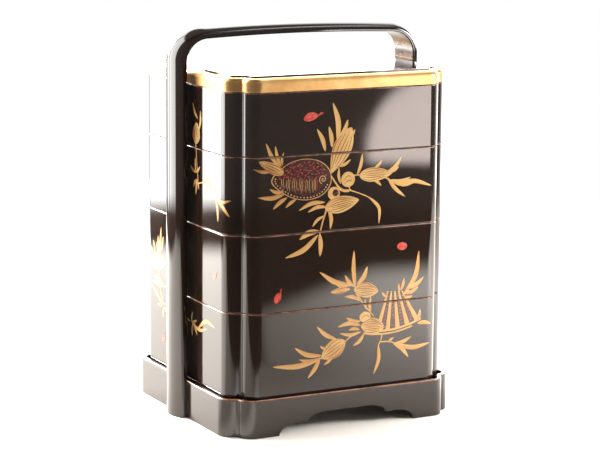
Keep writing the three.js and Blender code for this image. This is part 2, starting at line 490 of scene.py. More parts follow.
lidForm = {
    "rimHeight": 11.0,
    "rimWidth": 7.0,
    "edgeRadius": 4.0,
    "plate": 4.5,
    "lip": 3.0,
    "lipRound": 0.6,
    "rimFootRound": 0.4,
    "rimInsideRound": 0.25,
    "panelRound": 0.5,
    "panelEdge": 4.0,         # the panel's own strip of points beside the rim
    "goldMargin": 0.15,       # the gold stops this far from the rim's inner foot
    "wearReach": 0.5,
}
low, high = nodeBox("lid")
half, lidTop = high[:2], high[2]
seat = low[2] + tier["footDepth"]
lipOut = tier["wall"] + tier["footClearance"]
lipIn = lipOut + lidForm["lip"]
rimTop, rimWidth = seat + lidForm["rimHeight"], lidForm["rimWidth"]
profile = roundedLine(
    [(lipIn + inward, lidTop - lidForm["plate"]), (lipIn, lidTop - lidForm["plate"]),
     (lipIn, low[2]), (lipOut, low[2]), (lipOut, seat), (0, seat), (0, rimTop), (rimWidth, rimTop),
     (rimWidth, lidTop), (rimWidth + lidForm["panelEdge"], lidTop)],
    [0, 0, lidForm["lipRound"], lidForm["lipRound"], 0, lidForm["rimFootRound"],
     lidForm["edgeRadius"], lidForm["rimInsideRound"], lidForm["panelRound"], 0], steps=6)
goldAbove, goldWithin = seat + 0.1, rimWidth - lidForm["goldMargin"]
lid = notchedShell("lid_lacquered", half, profile, [black, rimMetal],
                   wearAt=[(rimWidth + tier["wearAt"], lidTop)], wearReach=lidForm["wearReach"],
                   goldFrom=lambda inset, z: (z > goldAbove) & (inset < goldWithin))
finishPiece(lid, "black_lacquer", "lid")
print("lid made")


# The footed tray

trayForm = {
    "wall": 4.0,
    "recess": 5.75,
    "floor": 5.0,
    "rimRound": 0.9,
    "footRound": 0.6,
    "recessRound": 0.8,
    "lowArch": (61.7, 8.9, 13.7),    # half width, height, and reach of its curved end
    "highArch": (35.8, 15.8, 17.3),
    "archSteps": 12,
    "archMargin": 1.4,               # the next cut beyond the end of an arch
    "level": 18.0,                   # above the arches, where the rings are level again
    "housing": (15.75, 1.1),         # half width and depth of the recess for a leg
    "housingStep": 0.004,            # along the side, in which the recess reaches its depth
    "wearAt": 0.3,                   # from the outer and from the inner edge of the rim
    "wearReach": (0.75, 0.5),
}


def archHeight(x):
    # Two low arches, one in the middle of the other: each is level in its middle and a quarter
    # ellipse at its ends, and the higher one starts from the level of the lower.
    lowHalf, lowTop, lowRun = trayForm["lowArch"]
    highHalf, highTop, highRun = trayForm["highArch"]
    x = np.abs(x)
    lowPart = np.sqrt(np.clip(1 - (np.maximum(x - lowHalf + lowRun, 0) / lowRun) ** 2, 0, 1))
    highPart = np.sqrt(np.clip(1 - (np.maximum(x - highHalf + highRun, 0) / highRun) ** 2, 0, 1))
    return lowTop * lowPart + (highTop - lowTop) * highPart


def archStops():
    # Where the arches are cut across their width: even turns of each quarter ellipse, both sides.
    t = np.linspace(0, math.pi / 2, trayForm["archSteps"] + 1)
    arches = [trayForm["lowArch"], trayForm["highArch"]]
    places = [half - run + run * np.cos(t) for half, _, run in arches]
    places = np.concatenate(places + [[half + trayForm["archMargin"] for half, _, _ in arches]])
    return np.concatenate([places, -places])


def trayRing(half, inset, height, follows):
    # One ring of the tray. A ring that follows the arches is moved off them along their own normal,
    # by its height, so that the rounding of their lower edge keeps its width where they are steep.
    # Where an arch starts with an upright corner, it is moved by as much across and up.
    legHalf, legDepth = trayForm["housing"]
    within = legHalf - trayForm["housingStep"]
    legEdges = [legHalf, within, -within, -legHalf]
    ring = notchedRing(half, inset, archStops(), legEdges)
    x, y = ring.T.copy()
    z = np.full(len(x), float(height))
    if follows:
        onSide = (np.abs(x) < half[0] - 2 * corner["radius"]) & (np.abs(y) > half[1] - inset - 0.01)
        rise = archHeight(x)
        step = 0.02
        slope = (archHeight(np.abs(x) + step) - archHeight(np.abs(x) - step)) / (2 * step)
        length = np.sqrt(1 + slope ** 2)
        starts = [trayForm[key][0] for key in ("lowArch", "highArch")]
        upright = np.isclose(np.abs(x)[:, None], starts, atol=1e-6).any(1)
        z = np.where(onSide, rise + np.where(upright, height, height / length), z)
        aside = np.where(upright, height, -height * slope / length)
        x = np.where(onSide, x + np.sign(x) * aside, x)
    inHousing = np.abs(y) < legHalf - trayForm["housingStep"] / 2
    deepest = half[0] - legDepth
    x = np.where(inHousing & (np.abs(x) > deepest), np.sign(x) * deepest, x)
    return np.column_stack([x, y, z])


low, high = nodeBox("footed_tray")
half, trayRim = high[:2], high[2]
wall, recess, slab = trayForm["wall"], trayForm["recess"], trayForm["floor"]
under, footRound = trayRim - recess - slab, trayForm["footRound"]
footLine = roundedLine([(wall, 2), (wall, 0), (0, 0), (0, 2)], [0, footRound, footRound, 0],
                       steps=3)
level = trayForm["level"]
upper = roundedLine([(0, level - 0.5), (0, trayRim), (wall, trayRim), (wall, trayRim - recess),
                     (wall + inward, trayRim - recess)],
                    [0, trayForm["rimRound"], trayForm["rimRound"], trayForm["recessRound"], 0])
inside = [(wall + inward, under), (wall, under), (wall, level)]
rings = [trayRing(half, inset, z, False) for inset, z in inside]
rings += [trayRing(half, inset, z, True) for inset, z in footLine[1:-1]]
rings += [trayRing(half, inset, z, False) for inset, z in upper]
points = np.array(rings)
rows, count = points.shape[:2]
line = np.vstack([inside, footLine[1:-1], upper])
wearAt = trayForm["wearAt"]
wear = [np.exp(-(np.linalg.norm(line - (inset, trayRim), axis=1) / reach) ** 2)
        for inset, reach in zip((wearAt, wall - wearAt), trayForm["wearReach"])]
wear = np.append(np.repeat(np.maximum(*wear), count), [0, 0])
tray = buildMesh("footed_tray_lacquered",
                 np.vstack([points.reshape(-1, 3), [[0, 0, under], [0, 0, trayRim - recess]]]),
                 ringFaces(rows, count), [black], {"wear": wear})
finishPiece(tray, "black_lacquer", "footed_tray")
print("tray made")


# The handle

band = {
    "edge": 4.0,
    "dome": 5.75,
    "bendRadius": 19.0,
    "crownRadius": 1800.0,
    "edgeRound": 0.7,
    "domeBlend": (0.45, 0.12, 0.02),    # how the thin edge is cut where the dome begins
    "bendSteps": 28,
    "crownSteps": 40,
    "domeSteps": 26,
    "legSteps": 12,
    "footFullness": 0.96,     # the very ends of the legs are slightly rounded off
}


def bandSection(halfWidth):
    # The band cut across: flat inside, two thin flat edges, and one arc for the domed outside.
    # Pairs of (along the width, away from the inner face), with each corner slightly rounded.
    edge, dome = band["edge"], band["dome"]
    radius = (halfWidth ** 2 + dome ** 2) / (2 * dome)
    turn = math.asin(halfWidth / radius)
    inner = roundedLine([(-halfWidth + 8, 0), (-halfWidth, 0), (-halfWidth, edge + 0.1)],
                        [0, band["edgeRound"], 0])[:-1]
    t = np.linspace(-turn, turn, band["domeSteps"] + 1)
    arc = np.column_stack([radius * np.sin(t), edge + dome - radius + radius * np.cos(t)])
    down, aside, up = band["domeBlend"]
    blend = np.array([(-halfWidth, edge - down), (-halfWidth + aside, edge - up)])
    left = np.vstack([inner, blend])
    right = (left * (-1, 1))[::-1]
    return np.vstack([left, arc[1:-1], right])


def bandLine(halfSpan, barHeight):
    # The inner face's line: straight legs, a bend of one radius, and a bar that is a very flat arc
    # tangent to both bends. Returns places (x, z) and outward directions.
    bend, crown = band["bendRadius"], band["crownRadius"]
    lean = math.asin((halfSpan - bend) / (crown - bend))
    centre = barHeight - crown
    bendHeight = centre + (crown - bend) * math.cos(lean)
    legs = np.concatenate([[0, 0.6, 1.4], np.linspace(12, bendHeight - 0.6, band["legSteps"])])
    turn = np.linspace(0, math.pi / 2 - lean, band["bendSteps"] + 1)
    x = np.concatenate([np.full(len(legs), -halfSpan), -halfSpan + bend * (1 - np.cos(turn))])
    z = np.concatenate([legs, bendHeight + bend * np.sin(turn)])
    out = np.concatenate([np.zeros(len(legs)), turn])
    over = np.linspace(-lean, lean, band["crownSteps"] + 1)[1:-1]
    x = np.concatenate([x, crown * np.sin(over), -x[::-1]])
    z = np.concatenate([z, centre + crown * np.cos(over), z[::-1]])
    outX = np.concatenate([-np.cos(out), np.sin(over), np.cos(out)[::-1]])
    outZ = np.concatenate([np.sin(out), np.cos(over), np.sin(out)[::-1]])
    return x, z, outX, outZ


low, high = nodeBox("handle")
thickness = band["edge"] + band["dome"]
section = bandSection(high[1])
x, z, outX, outZ = bandLine(high[0] - thickness, high[2] - thickness)
fullness = np.ones(len(x))
fullness[[0, -1]] = band["footFullness"]
middle = np.array([0, thickness / 2])
across = middle + (section - middle) * fullness[:, None, None]
points = np.stack([x[:, None] + outX[:, None] * across[..., 1], across[..., 0],
                   z[:, None] + outZ[:, None] * across[..., 1]], -1)
rows, count = points.shape[:2]
ends = points[[0, -1]].mean(1)
innerSide = (np.abs(section[:, 1]) < 0.01) & (np.abs(np.roll(section[:, 1], -1)) < 0.01)
handle = buildMesh("handle_lacquered", np.vstack([points.reshape(-1, 3), ends]),
                   ringFaces(rows, count), [black, satinUrushiPaintedReflection()],
                   {"wear": np.zeros(rows * count + 2)},
                   np.concatenate([np.tile(innerSide, rows - 1), np.zeros(2 * count)]))
finishPiece(handle, "black_lacquer", "handle")
print("handle made")


# The painted picture: sprays of sea grass with shells, as thin films of lacquer and gold powder

film = {
    "sunk": 0.05,      # how far a film reaches into the wall behind it
    "gold": 0.09,      # its height above the wall, a little different for each stroke
    "fill": 0.06,
    "line": 0.15,
    "step": 0.0021,    # that difference,
    "levels": 23,      # and after how many strokes it starts again
    "rimGap": 0.95,    # bare strip left along the rims
    "shoulderGap": 0.7,
    "smallest": 0.002, # area in square millimetres below which a cell is left out
    "shellLine": 0.46, # width of the thin lines on a shell
}
faceTurn = {"front": 0, "right": 1, "back": 2, "left": 3}
paints = {"gold": pictureGold, "red": vermilion, "brown": shellBrown}
strokes = {kind: [] for kind in paints}


def onWall(half, turn, u, z, height):
    # From a place on a face, u to the right as seen from outside, to a point in the frame. Past
    # the flat part the place runs round the shoulder: x = flat + (r + h) sin t and
    # y = depth - r + (r + h) cos t, with t the length past the flat over r.
    r = corner["radius"]
    across, depth = (half[0], half[1]) if turn % 2 == 0 else (half[1], half[0])
    flat = across - 2 * r
    t = np.maximum(np.abs(u) - flat, 0) / r
    x = np.sign(u) * (np.minimum(np.abs(u), flat) + (r + height) * np.sin(t))
    out = depth - r + (r + height) * np.cos(t)
    angle = turn * math.pi / 2
    c, s = round(math.cos(angle)), round(math.sin(angle))
    return np.stack([x * c + out * s, x * s - out * c, z], -1)


def stroke(kind, face, grid, tone=0.6, level=None):
    # Adds a strip: a grid of (u, z) places, its colour and how pale its gold is.
    grid = np.asarray(grid, float)
    tone = np.broadcast_to(np.asarray(tone, float), grid.shape[:2])
    base = film[level or ("gold" if kind == "gold" else "line")]
    height = base + film["step"] * (len(strokes[kind]) % film["levels"])
    strokes[kind].append((faceTurn[face], grid, tone, height))


def curve(points, count):
    # A smooth line of evenly spaced places through a few points (Catmull-Rom).
    points = np.asarray(points, float)
    ends = np.vstack([2 * points[0] - points[1], points, 2 * points[-1] - points[-2]])
    t = np.linspace(0, len(points) - 1 - 1e-9, count)
    i = t.astype(int)
    f = (t - i)[:, None]
    a, b, c, d = (ends[i + k] for k in range(4))
    return 0.5 * (2 * b + (c - a) * f + (2 * a - 5 * b + 4 * c - d) * f ** 2
                  + (3 * b - a - 3 * c + d) * f ** 3)


def ribbon(line, halfWidth, columns=3):
    # A strip of the given half widths about a line: each place is moved along the line's normal.
    way = np.gradient(line, axis=0)
    way /= np.linalg.norm(way, axis=1)[:, None]
    normal = np.stack([-way[:, 1], way[:, 0]], 1)
    side = np.linspace(-1, 1, columns)[None, :, None]
    return line[:, None] + normal[:, None] * side * np.asarray(halfWidth)[:, None, None]


def leaf(face, base, tip, width, bend, tone, kind="gold"):
    # A blade: half width 0.43 w (sin(pi t^0.9))^0.7 along a line bent sideways by a share of its
    # length, pale along one edge and deeper along the other.
    base, tip = np.array(base, float), np.array(tip, float)
    side = np.array([base[1] - tip[1], tip[0] - base[0]])
    line = curve([base, (base + tip) / 2 + side * bend, tip], 17)
    t = np.linspace(0.012, 0.988, 17)
    half = 0.86 * width / 2 * np.sin(math.pi * t ** 0.9) ** 0.7
    grid = ribbon(line, half, 4)
    shade = tone + 0.16 * np.linspace(-1, 1, 4)[None, :] + 0.14 * (t[:, None] - 0.5)
    stroke(kind, face, grid, shade)


def leaves(face, rows):
    # Blades one after the other: base, tip, width, bend and tone of each.
    for x0, z0, x1, z1, width, bend, tone in rows:
        leaf(face, (x0, z0), (x1, z1), width, bend, tone)


def tuft(face, at, heading, spread, lengths, width, tone):
    # Blades fanned out from one place, each bent a little outwards.
    turns = np.linspace(-0.5, 0.5, len(lengths)) if len(lengths) > 1 else np.zeros(1)
    for share, length in zip(turns, lengths):
        angle = math.radians(heading + spread * share)
        tip = (at[0] + length * math.cos(angle), at[1] + length * math.sin(angle))
        leaf(face, at, tip, min(width, 1.6 + length * 0.13), 0.13 * share, tone)


def stem(face, points, width, tone=0.55):
    # A stalk: half width w / 2 (1 - 0.35 t) along a smooth line.
    count = 8 * len(points)
    t = np.linspace(0, 1, count)
    stroke("gold", face, ribbon(curve(points, count), width / 2 * (1 - 0.35 * t)), tone)


def line(face, points, width, kind="brown", tone=0.6, count=14):
    # A thin line: half width w / 2 (0.55 + 0.45 sin(pi t)) along a smooth line.
    t = np.linspace(0, 1, count)
    half = width / 2 * (0.55 + 0.45 * np.sin(math.pi * t))
    stroke(kind, face, ribbon(curve(points, count), half, 2), tone, "line")


def shellFrame(start, end):
    # A shell's start, the way to its end, and the unit vector a quarter turn from that.
    start, end = np.array(start, float), np.array(end, float)
    along = end - start
    return start, along, np.array([-along[1], along[0]]) / np.linalg.norm(along)


def whelk(face, start, end, width, tone, lines, mouth):
    # A spindle shell: half width w / 2 sin(pi t^m)^0.75, with m from the mouth's place, where it is
    # widest. Brown lines run along it, each at its own share of the half width, as on an onion.
    origin, along, across = shellFrame(start, end)
    t = np.linspace(0.01, 0.99, 22)
    power = math.log(0.5) / math.log(mouth)
    half = width / 2 * np.sin(math.pi * t ** power) ** 0.75
    grid = ribbon(origin + t[:, None] * along, half, 5)
    shade = tone + 0.14 * np.linspace(1, -1, 5)[None, :] + 0.1 * np.sin(9 * t)[:, None]
    stroke("gold", face, grid, shade)
    for k, share in enumerate(np.linspace(-0.72, 0.78, lines)):
        reach = np.linspace(0.1 + 0.05 * (k % 3), 0.9 - 0.07 * ((k + 1) % 3), 7)
        w = width / 2 * np.sin(math.pi * reach ** power) ** 0.75 * share
        w = w * (1 + 0.12 * np.sin(7 * reach + k))
        line(face, origin + reach[:, None] * along + w[:, None] * across, film["shellLine"])


def disc(kind, face, centre, radius, tone=0.6, squash=1.0, level=None):
    # A round figure: radius (cos, squash sin) of the angle, on three rings.
    angle = np.linspace(0, 2 * math.pi, 25)[:, None]
    reach = np.array([0.02, 0.55, 1.0])[None, :] * radius
    grid = np.stack([centre[0] + reach * np.cos(angle),
                     centre[1] + squash * reach * np.sin(angle)], -1)
    grid[-1] = grid[0] + (grid[-2] - grid[0]) * 0.002
    stroke(kind, face, grid, tone, level)


def petal(face, at, length, heading, plump):
    # A fallen petal with a short tail: a plump blade and a thin one that goes on from its tip.
    c, s = math.cos(math.radians(heading)), math.sin(math.radians(heading))
    way, side = length * np.array([c, s]), length * np.array([-s, c])
    tip = at + 0.4 * way
    leaf(face, at - 0.45 * way, tip, length * plump, 0.06, 0.6, "red")
    leaf(face, tip, tip + 0.3 * way + 0.06 * side, length * 0.12, 0.1, 0.6, "red")


def noseShell(face, centre, reach, tilt):
    # The big dark shell: an egg drawn out to a point at one end. Its place at the angle t is the
    # ellipse's, with x times 1 + 0.16 max(0, -cos(t - 0.12))^9 and y times 1 + 0.09 cos t. Thin
    # gold edge, a row of gold dots inside it below, curled dashes in red above, fine strokes in
    # gold and red under them, and a small coil at the blunt end.
    c, s = math.cos(math.radians(tilt)), math.sin(math.radians(tilt))

    def place(x, y):
        # From the shell's own axes to the face.
        return np.stack([centre[0] + x * c - y * s, centre[1] + x * s + y * c], -1)

    def egg(t, share):
        long = 1 + 0.16 * np.maximum(0, -np.cos(t - 0.12)) ** 9
        return place(reach[0] * long * np.cos(t) * share,
                     reach[1] * np.sin(t) * (1 + 0.09 * np.cos(t)) * share)

    around = np.linspace(0.004, 2 * math.pi - 0.004, 73)
    t, share = np.meshgrid(around, [0.02, 0.4, 0.75, 1.0], indexing="ij")
    stroke("brown", face, egg(t, share), 0.5, "fill")
    edge = np.stack([egg(around, 0.99), egg(around, 1.018)], 1)
    stroke("gold", face, edge, 0.6)
    for angle in np.linspace(3.1, 6.0, 22):
        disc("gold", face, egg(np.array(angle), 0.9), 0.5, 1.0, level="line")
    dashes = [(0.82, 7), (0.64, 10), (0.46, 13), (0.28, 14), (0.1, 11)]  # height and count of a row
    for row, (height, count) in enumerate(dashes):
        width = math.sqrt(1 - height ** 2) * 0.86
        for k, share in enumerate(np.linspace(-width, width * (0.5 if row == 4 else 0.95), count)):
            x, y = reach[0] * share, reach[1] * (height + 0.05 * math.sin(2.1 * k + row))
            angle = 0.5 * math.sin(1.7 * k + 2.3 * row) + (0.35 if k % 3 else -0.4)
            dx, dy = 1.15 * math.cos(angle), 1.15 * math.sin(angle)
            a, b = place(x - dx, y - dy), place(x + dx, y + dy)
            bend = 0.55 if (k + row) % 2 else -0.55
            line(face, [a, (a + b) / 2 + (0, bend), b], 0.5, "red", count=6)
    for k, share in enumerate(np.linspace(-0.8, 0.5, 23)):
        x = reach[0] * share
        top = reach[1] * (0.02 + 0.05 * math.sin(1.9 * k))
        foot = -reach[1] * 0.72 * math.sqrt(1 - share ** 2) * (0.86 + 0.1 * math.sin(2.7 * k))
        lean = 0.7 + 0.6 * math.sin(0.8 * k)
        a, b = place(x, top), place(x + lean, foot)
        line(face, [a, (a + b) / 2 - (0.45, 0), b], 0.32, "red" if k % 4 == 2 else "gold", 0.9, 8)
    turn = np.linspace(0.6, 3.4 * math.pi, 40)
    spiral = np.stack([np.cos(turn), np.sin(turn)], 1) * (0.34 * turn)[:, None]
    coil = egg(np.array(0.0), 0.7) + spiral
    stroke("gold", face, ribbon(coil, np.full(40, 0.28), 2), 0.75, "line")


def fanShell(face, hinge, foot, ribs, tone):
    # A scallop seen from its back: ribs spread from the short hinge to the long curved foot, gold
    # and dark by turns, and a gold margin below. hinge and foot are each a left and a right place.
    (h0, h1), (f0, f1) = np.array(hinge, float), np.array(foot, float)
    drop = (h0 + h1 - f0 - f1) / 2
    drop /= np.linalg.norm(drop)

    def place(v, s):
        # v runs from rib to rib, s from hinge to foot. The sides flare and the foot bows down.
        v = np.asarray(v)[..., None]
        top = h0 * (1 - v) + h1 * v
        low = f0 * (1 - v) + f1 * v - drop * 11.0 * v * (1 - v)
        return top + (low - top) * s - drop * 2.2 * s * (1 - s) * (2 * np.abs(v - 0.5))

    s = np.linspace(0, 1, 14)[:, None, None]
    for k in range(ribs):
        v = np.linspace(k / ribs, (k + 1) / ribs - 0.012, 4)[None, :]
        grid = place(v, s * (0.9 if k % 2 else 0.985))
        if k % 2:
            stroke("brown", face, grid, 0.5, "fill")
            for mark in np.linspace(0.12, 0.86, 9):
                a, b = place(v[0, 0], mark), place(v[0, -1], mark + 0.025)
                line(face, [a * 0.8 + b * 0.2, a * 0.2 + b * 0.8], 0.5, "red", count=4)
        else:
            stroke("gold", face, grid, tone + 0.12 * np.linspace(-1, 1, 4)[None, :])
    v = np.linspace(-0.02, 1.02, 22)
    edge = np.stack([place(v, 0.945), place(v, 1.0)], 1)
    stroke("gold", face, edge, tone + 0.1)
    v = np.linspace(-0.22, 0.8, 24)
    flare = np.stack([place(v, 1.03), place(v, 1.075)], 1)
    stroke("gold", face, flare, tone)


def upperSpray(face):
    noseShell(face, (-39, 205.5), (24.5, 16.2), -3)
    # above the dark shell
    leaves(face, [
        (-9, 234, -13.5, 265, 5.4, -0.08, 0.72), (-20, 227, -27.5, 245, 4.2, -0.06, 0.66),
        (-14, 230, -17, 246.5, 4.2, -0.04, 0.66), (-10, 235, 0, 251, 4.6, -0.1, 0.68),
        (1, 236, 6.5, 243, 2.6, -0.1, 0.66)])
    whelk(face, (-15, 208.5), (3.5, 245), 16.5, 0.68, 5, 0.56)
    leaf(face, (-9, 214), (3, 219), 3.0, -0.1, 0.6)
    # left end, redder
    leaves(face, [
        (-60, 216, -72.5, 236, 3.8, 0.06, 0.44), (-59, 217, -64.5, 233.5, 3.2, 0.05, 0.46),
        (-58, 218, -57, 228, 2.4, 0.1, 0.44)])
    whelk(face, (-57, 211), (-79, 222), 8.6, 0.34, 4, 0.4)
    leaves(face, [
        (-66, 214, -83, 216, 3.0, 0.08, 0.25), (-57, 197, -69, 199.5, 3.4, 0.12, 0.36),
        (-56, 195, -79, 193.5, 4.2, 0.08, 0.3), (-54, 192, -66, 183.5, 3.8, -0.05, 0.36),
        (-46, 190, -55, 184, 3.0, -0.05, 0.4)])
    # right of the dark shell
    stem(face, [(-15, 207), (-6, 196), (3, 194), (14, 190)], 1.3)
    leaves(face, [
        (-6, 200, -7.5, 213, 3.0, 0.08, 0.6), (2, 193, -10, 199, 2.6, 0.1, 0.6)])
    disc("gold", face, (0.7, 203), 6.2, 0.7)
    line(face, [(-3.4, 202), (0.7, 206), (4.6, 204)], 0.42)
    line(face, [(-2.6, 199.5), (1, 202), (5, 201)], 0.42)
    stem(face, [(3, 194), (0.6, 199)], 1.0)
    leaf(face, (9, 206), (13.5, 223), 3.4, -0.06, 0.66)
    stem(face, [(6, 206), (13, 206)], 1.2)
    whelk(face, (11, 205.5), (41, 205.5), 11.5, 0.7, 6, 0.4)
    leaves(face, [
        (25, 211, 31.5, 217, 2.8, -0.1, 0.66), (36, 206, 49.5, 218.5, 3.7, -0.1, 0.7),
        (38, 206, 47.5, 210.5, 2.8, -0.06, 0.66), (25, 200, 31, 196, 2.6, 0.1, 0.6)])
    stem(face, [(33, 204), (40, 199), (48, 195)], 1.2)
    leaves(face, [
        (39, 200, 58.5, 201, 3.4, -0.1, 0.68), (45, 196, 78, 193, 4.2, 0.1, 0.72),
        (43, 198, 62, 196.5, 2.6, -0.12, 0.66), (37, 202, 53.5, 185.5, 3.7, -0.06, 0.66)])
    stem(face, [(14, 190), (20, 187), (26, 181)], 1.1)
    leaf(face, (20, 187.5), (29.5, 165), 3.2, 0.2, 0.66)
    # below the dark shell
    disc("gold", face, (-12, 192.5), 5.4, 0.6)
    disc("brown", face, (-10.5, 193), 2.8, 0.5, level="line")
    disc("gold", face, (-11, 192.2), 1.3, 0.6, level="line")
    whelk(face, (-20, 181), (11, 186), 13.5, 0.68, 7, 0.42)
    leaves(face, [
        (-20, 186, -43, 181, 3.9, -0.1, 0.5), (-18, 182, -35, 179, 3.6, -0.12, 0.5),
        (-17, 181, -15, 163.8, 3.8, 0.1, 0.6)])
    stem(face, [(-17, 184), (-22, 170), (-25, 158)], 1.5, 0.5)
    leaves(face, [
        (-21, 175, -31, 167, 3.0, -0.1, 0.5), (-25, 163, -42.5, 157.5, 5.6, -0.1, 0.5),
        (-26, 160, -55, 143.5, 5.0, 0.1, 0.56), (-24.5, 161, -24, 142.5, 4.6, 0.04, 0.6)])
    petal(face, (-32.5, 254.5), 16, 12, 0.5)


def lowerSpray(face):
    leaves(face, [
        (6, 116, -24, 129.5, 4.8, 0.08, 0.52), (8.5, 114, 7, 144.5, 4.4, 0.03, 0.54),
        (8, 115, -1, 125, 3.6, 0.08, 0.50), (10, 116, 19.5, 130.5, 4.8, -0.1, 0.54)])
    whelk(face, (4, 113.5), (-14, 112), 5.2, 0.42, 2, 0.5)
    leaf(face, (1, 115.5), (-9, 118), 2.6, 0.1, 0.44)
    whelk(face, (7, 113), (30, 109.5), 12.5, 0.54, 6, 0.5)
    stem(face, [(9, 110), (17, 99), (26, 89)], 1.3)
    leaves(face, [
        (14, 103, -1, 107.5, 3.6, -0.08, 0.44), (19, 95, 18, 104, 2.8, 0.06, 0.48),
        (23, 92, 23, 105, 3.0, 0.06, 0.48)])
    fanShell(face, ((38, 108.5), (53, 107.5)), ((27, 75.5), (70, 82)), 9, 0.58)
    leaf(face, (38, 104), (33.5, 108), 2.6, 0.1, 0.44)
    # the tuft behind the fan
    leaves(face, [
        (53, 103, 67.5, 139.5, 5.0, -0.12, 0.56), (51, 108, 54, 118, 3.2, -0.05, 0.50),
        (50, 107, 49, 114, 2.4, 0.05, 0.48), (56, 109, 72.5, 117.5, 4.4, -0.1, 0.54),
        (54, 105.5, 67.5, 109.5, 3.8, -0.1, 0.50), (54, 102.5, 62, 102.5, 3.2, -0.1, 0.48),
        (66, 81, 69.5, 91, 3.6, -0.1, 0.48), (67, 79, 80.5, 77.5, 4.0, 0.08, 0.52)])
    # left of the fan
    whelk(face, (14, 82), (36, 79), 14.5, 0.52, 7, 0.5)
    disc("gold", face, (18, 89), 5.2, 0.72, 0.85)
    line(face, [(14.5, 88), (18.5, 90.6), (22.5, 89)], 0.42)
    leaves(face, [
        (14, 86, 0.5, 90, 3.6, 0.1, 0.44), (14, 82.5, -7, 83, 4.4, -0.12, 0.48),
        (13, 79, 3, 79.5, 3.2, -0.1, 0.44), (14, 77, -5, 77.5, 3.4, 0.1, 0.44),
        (17, 75, 7, 66, 3.8, 0.1, 0.48)])
    stem(face, [(14, 77), (5, 74), (-2, 69)], 1.3)
    whelk(face, (0, 71), (-22, 58.5), 15, 0.5, 5, 0.46)
    leaves(face, [
        (-8, 73, -26, 85, 4.0, 0.08, 0.48), (-17, 66, -23, 69, 2.6, 0.1, 0.42),
        (-22, 61, -46, 69.5, 4.6, 0.1, 0.44), (-22, 59, -42, 59.5, 3.6, 0.1, 0.42),
        (-21, 59, -65.5, 56, 5.2, 0.07, 0.48), (-23, 60, -34, 43.5, 4.4, 0.06, 0.46),
        (-11, 60, -19.5, 53, 3.2, 0.06, 0.42)])
    # right foot
    stem(face, [(34, 74), (33, 69), (30.5, 64)], 1.2)
    leaf(face, (30.5, 65), (26.5, 40.5), 3.8, 0.1, 0.52)
    stem(face, [(32, 67), (42, 66), (51, 62)], 1.2)
    leaves(face, [
        (40, 66, 45, 69, 2.4, 0.1, 0.48), (45, 64, 61.5, 68.5, 3.8, -0.08, 0.52),
        (47, 63.5, 79, 61.5, 4.6, -0.1, 0.54), (44, 65, 59, 51.5, 4.2, 0.08, 0.52)])
    disc("red", face, (51.5, 144.8), 4.6, squash=0.7)
    petal(face, (-61, 112), 11, 62, 0.62)


def leftSprays(face):
    leaves(face, [
        (26, 249, 16.5, 261, 3.6, 0.1, 0.6), (28, 240, 31, 256, 3.6, -0.1, 0.6)])
    whelk(face, (22, 228), (24, 246), 14, 0.62, 5, 0.45)
    stem(face, [(22, 229), (24, 214), (27, 196)], 1.3)
    tuft(face, (22, 205), 95, 120, [10, 12, 11], 3.4, 0.5)
    tuft(face, (24, 200), 262, 70, [10, 13, 9], 3.4, 0.5)
    stem(face, [(27, 197), (44, 199), (60, 190)], 1.2)
    whelk(face, (36, 204), (52, 196), 10, 0.6, 4, 0.45)
    leaves(face, [
        (58, 191, 60, 201, 3.2, 0.1, 0.5), (60, 189, 80, 190, 3.2, -0.08, 0.46),
        (61, 190, 79, 177, 4.0, 0.08, 0.5), (60, 190, 64, 171.5, 4.2, 0.06, 0.52)])
    tuft(face, (-52, 124), 88, 50, [20, 25, 17, 12], 4.4, 0.5)
    tuft(face, (-60, 124), 130, 40, [12, 14], 4.0, 0.5)
    whelk(face, (-70, 118), (-38, 120), 15, 0.6, 6, 0.5)
    stem(face, [(-52, 114), (-50, 100), (-44, 84)], 1.3)
    whelk(face, (-62, 104), (-42, 100), 10, 0.56, 4, 0.45)
    tuft(face, (-44, 83), 150, 70, [12, 26, 12], 4.2, 0.5)
    tuft(face, (-42, 82), -70, 60, [10, 9], 3.6, 0.5)
    stem(face, [(-44, 84), (-18, 88), (10, 80)], 1.2)
    whelk(face, (-30, 90), (-8, 84), 11, 0.6, 5, 0.45)
    tuft(face, (14, 80), 50, 60, [10, 9], 3.4, 0.5)
    tuft(face, (16, 80), -70, 50, [11, 12], 3.4, 0.52)
    leaves(face, [
        (14, 80, 44, 80, 3.4, -0.12, 0.56), (26, 77, 59, 84, 3.8, 0.16, 0.6)])
    petal(face, (58.5, 126.5), 9, 40, 0.7)
    petal(face, (-42, 54), 9, 70, 0.7)


